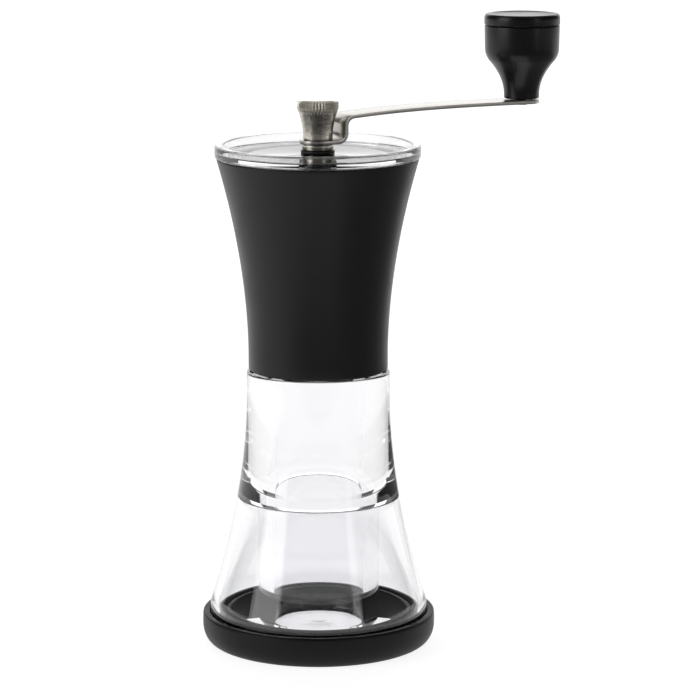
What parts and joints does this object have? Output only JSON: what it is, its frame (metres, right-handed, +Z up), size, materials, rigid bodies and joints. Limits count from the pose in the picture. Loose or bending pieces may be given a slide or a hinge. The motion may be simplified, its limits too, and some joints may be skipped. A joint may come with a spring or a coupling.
{
  "type": "hand crank coffee grinder",
  "caption": "Hand crank coffee grinder: flared black hopper body on a clear flared jar, clear lid, steel crank with black knob, silicone foot ring, ceramic conical burrs inside.",
  "frame": {"origin": "where the grinding axis meets the table, at the centre of the foot ring's rest plane", "axes": "+Z up along the grinding axis, towards the crank; -Y is the front; the crank rests at 25 degrees from +X towards +Y"},
  "size_m": [0.1363, 0.0949, 0.236],
  "materials": {
    "silicone": "moulded matt silicone",
    "clear_acrylic": "polished clear acrylic",
    "body_plastic": "fine matt moulded",
    "inner_plastic": "moulded",
    "knob_plastic": "satin moulded",
    "ceramic": "sintered, ground edges",
    "stainless": "brushed",
    "spring_steel": "drawn and stamped",
    "white_nylon": "moulded",
    "rivet": "plain bronze"
  },
  "bodies": {
    "base": {"base_ring": "silicone"},
    "jar": {"jar": "clear_acrylic"},
    "hopper": {"hopper_shell": "body_plastic", "hopper_funnel": "inner_plastic", "bearing_bridge": "inner_plastic", "upper_bush": "white_nylon", "burr_holder": "inner_plastic", "outer_burr": "ceramic", "holder_screw_1": "stainless", "holder_screw_2": "stainless", "holder_screw_3": "stainless"},
    "drive": {"drive_shaft": "stainless", "shaft_clip": "spring_steel", "thrust_washer": "spring_steel"},
    "burr": {"burr_core": "inner_plastic", "inner_burr": "ceramic", "detent_plate": "spring_steel", "burr_spring": "spring_steel"},
    "adjuster": {"adjusting_nut": "inner_plastic"},
    "lid": {"lid": "clear_acrylic", "lid_bush": "inner_plastic"},
    "crank": {"crank_arm": "stainless", "arm_washer": "stainless", "knob_pin": "rivet", "knob_washer": "white_nylon", "knob_retainer": "spring_steel"},
    "nut": {"crank_nut": "stainless"},
    "knob": {"knob_body": "knob_plastic", "knob_cap": "knob_plastic"}
  },
  "joints": [
    {"name": "jar_lift", "type": "slide", "parent": "base", "child": "jar", "axis": [0, 0, 1], "range_m": [0, 0.03]},
    {"name": "hopper_lift", "type": "slide", "parent": "jar", "child": "hopper", "axis": [0, 0, 1], "range_m": [0, 0.05]},
    {"name": "lid_lift", "type": "slide", "parent": "hopper", "child": "lid", "axis": [0, 0, 1], "range_m": [0, 0.0201]},
    {"name": "crank_turn", "type": "hinge", "parent": "hopper", "child": "drive", "pos_m": [0, 0, 0.15], "axis": [0, 0, 1], "continuous": true},
    {"name": "burr_travel", "type": "slide", "parent": "drive", "child": "burr", "axis": [0, 0, 1], "range_m": [-0.0015, 0], "deforming": ["burr_spring"]},
    {"name": "grind_adjust", "type": "hinge", "parent": "burr", "child": "adjuster", "pos_m": [0, 0, 0.112], "axis": [0, 0, 1], "range_deg": [-541, 0]},
    {"name": "nut_lift", "type": "slide", "parent": "drive", "child": "nut", "axis": [0, 0, 1], "range_m": [0, 0.06]},
    {"name": "crank_lift", "type": "slide", "parent": "drive", "child": "crank", "axis": [0, 0, 1], "range_m": [0, 0.0401]},
    {"name": "knob_spin", "type": "hinge", "parent": "crank", "child": "knob", "pos_m": [0.07762, 0.0362, 0.215], "axis": [0, 0, 1], "continuous": true}
  ],
  "couplings": [
    {"joint": "grind_adjust", "follows": "burr_travel", "rad_per_m": 6283.2},
    {"joint": "crank_lift", "follows": "nut_lift", "ratio": 0.6667},
    {"joint": "lid_lift", "follows": "nut_lift", "ratio": 0.3333}
  ]
}
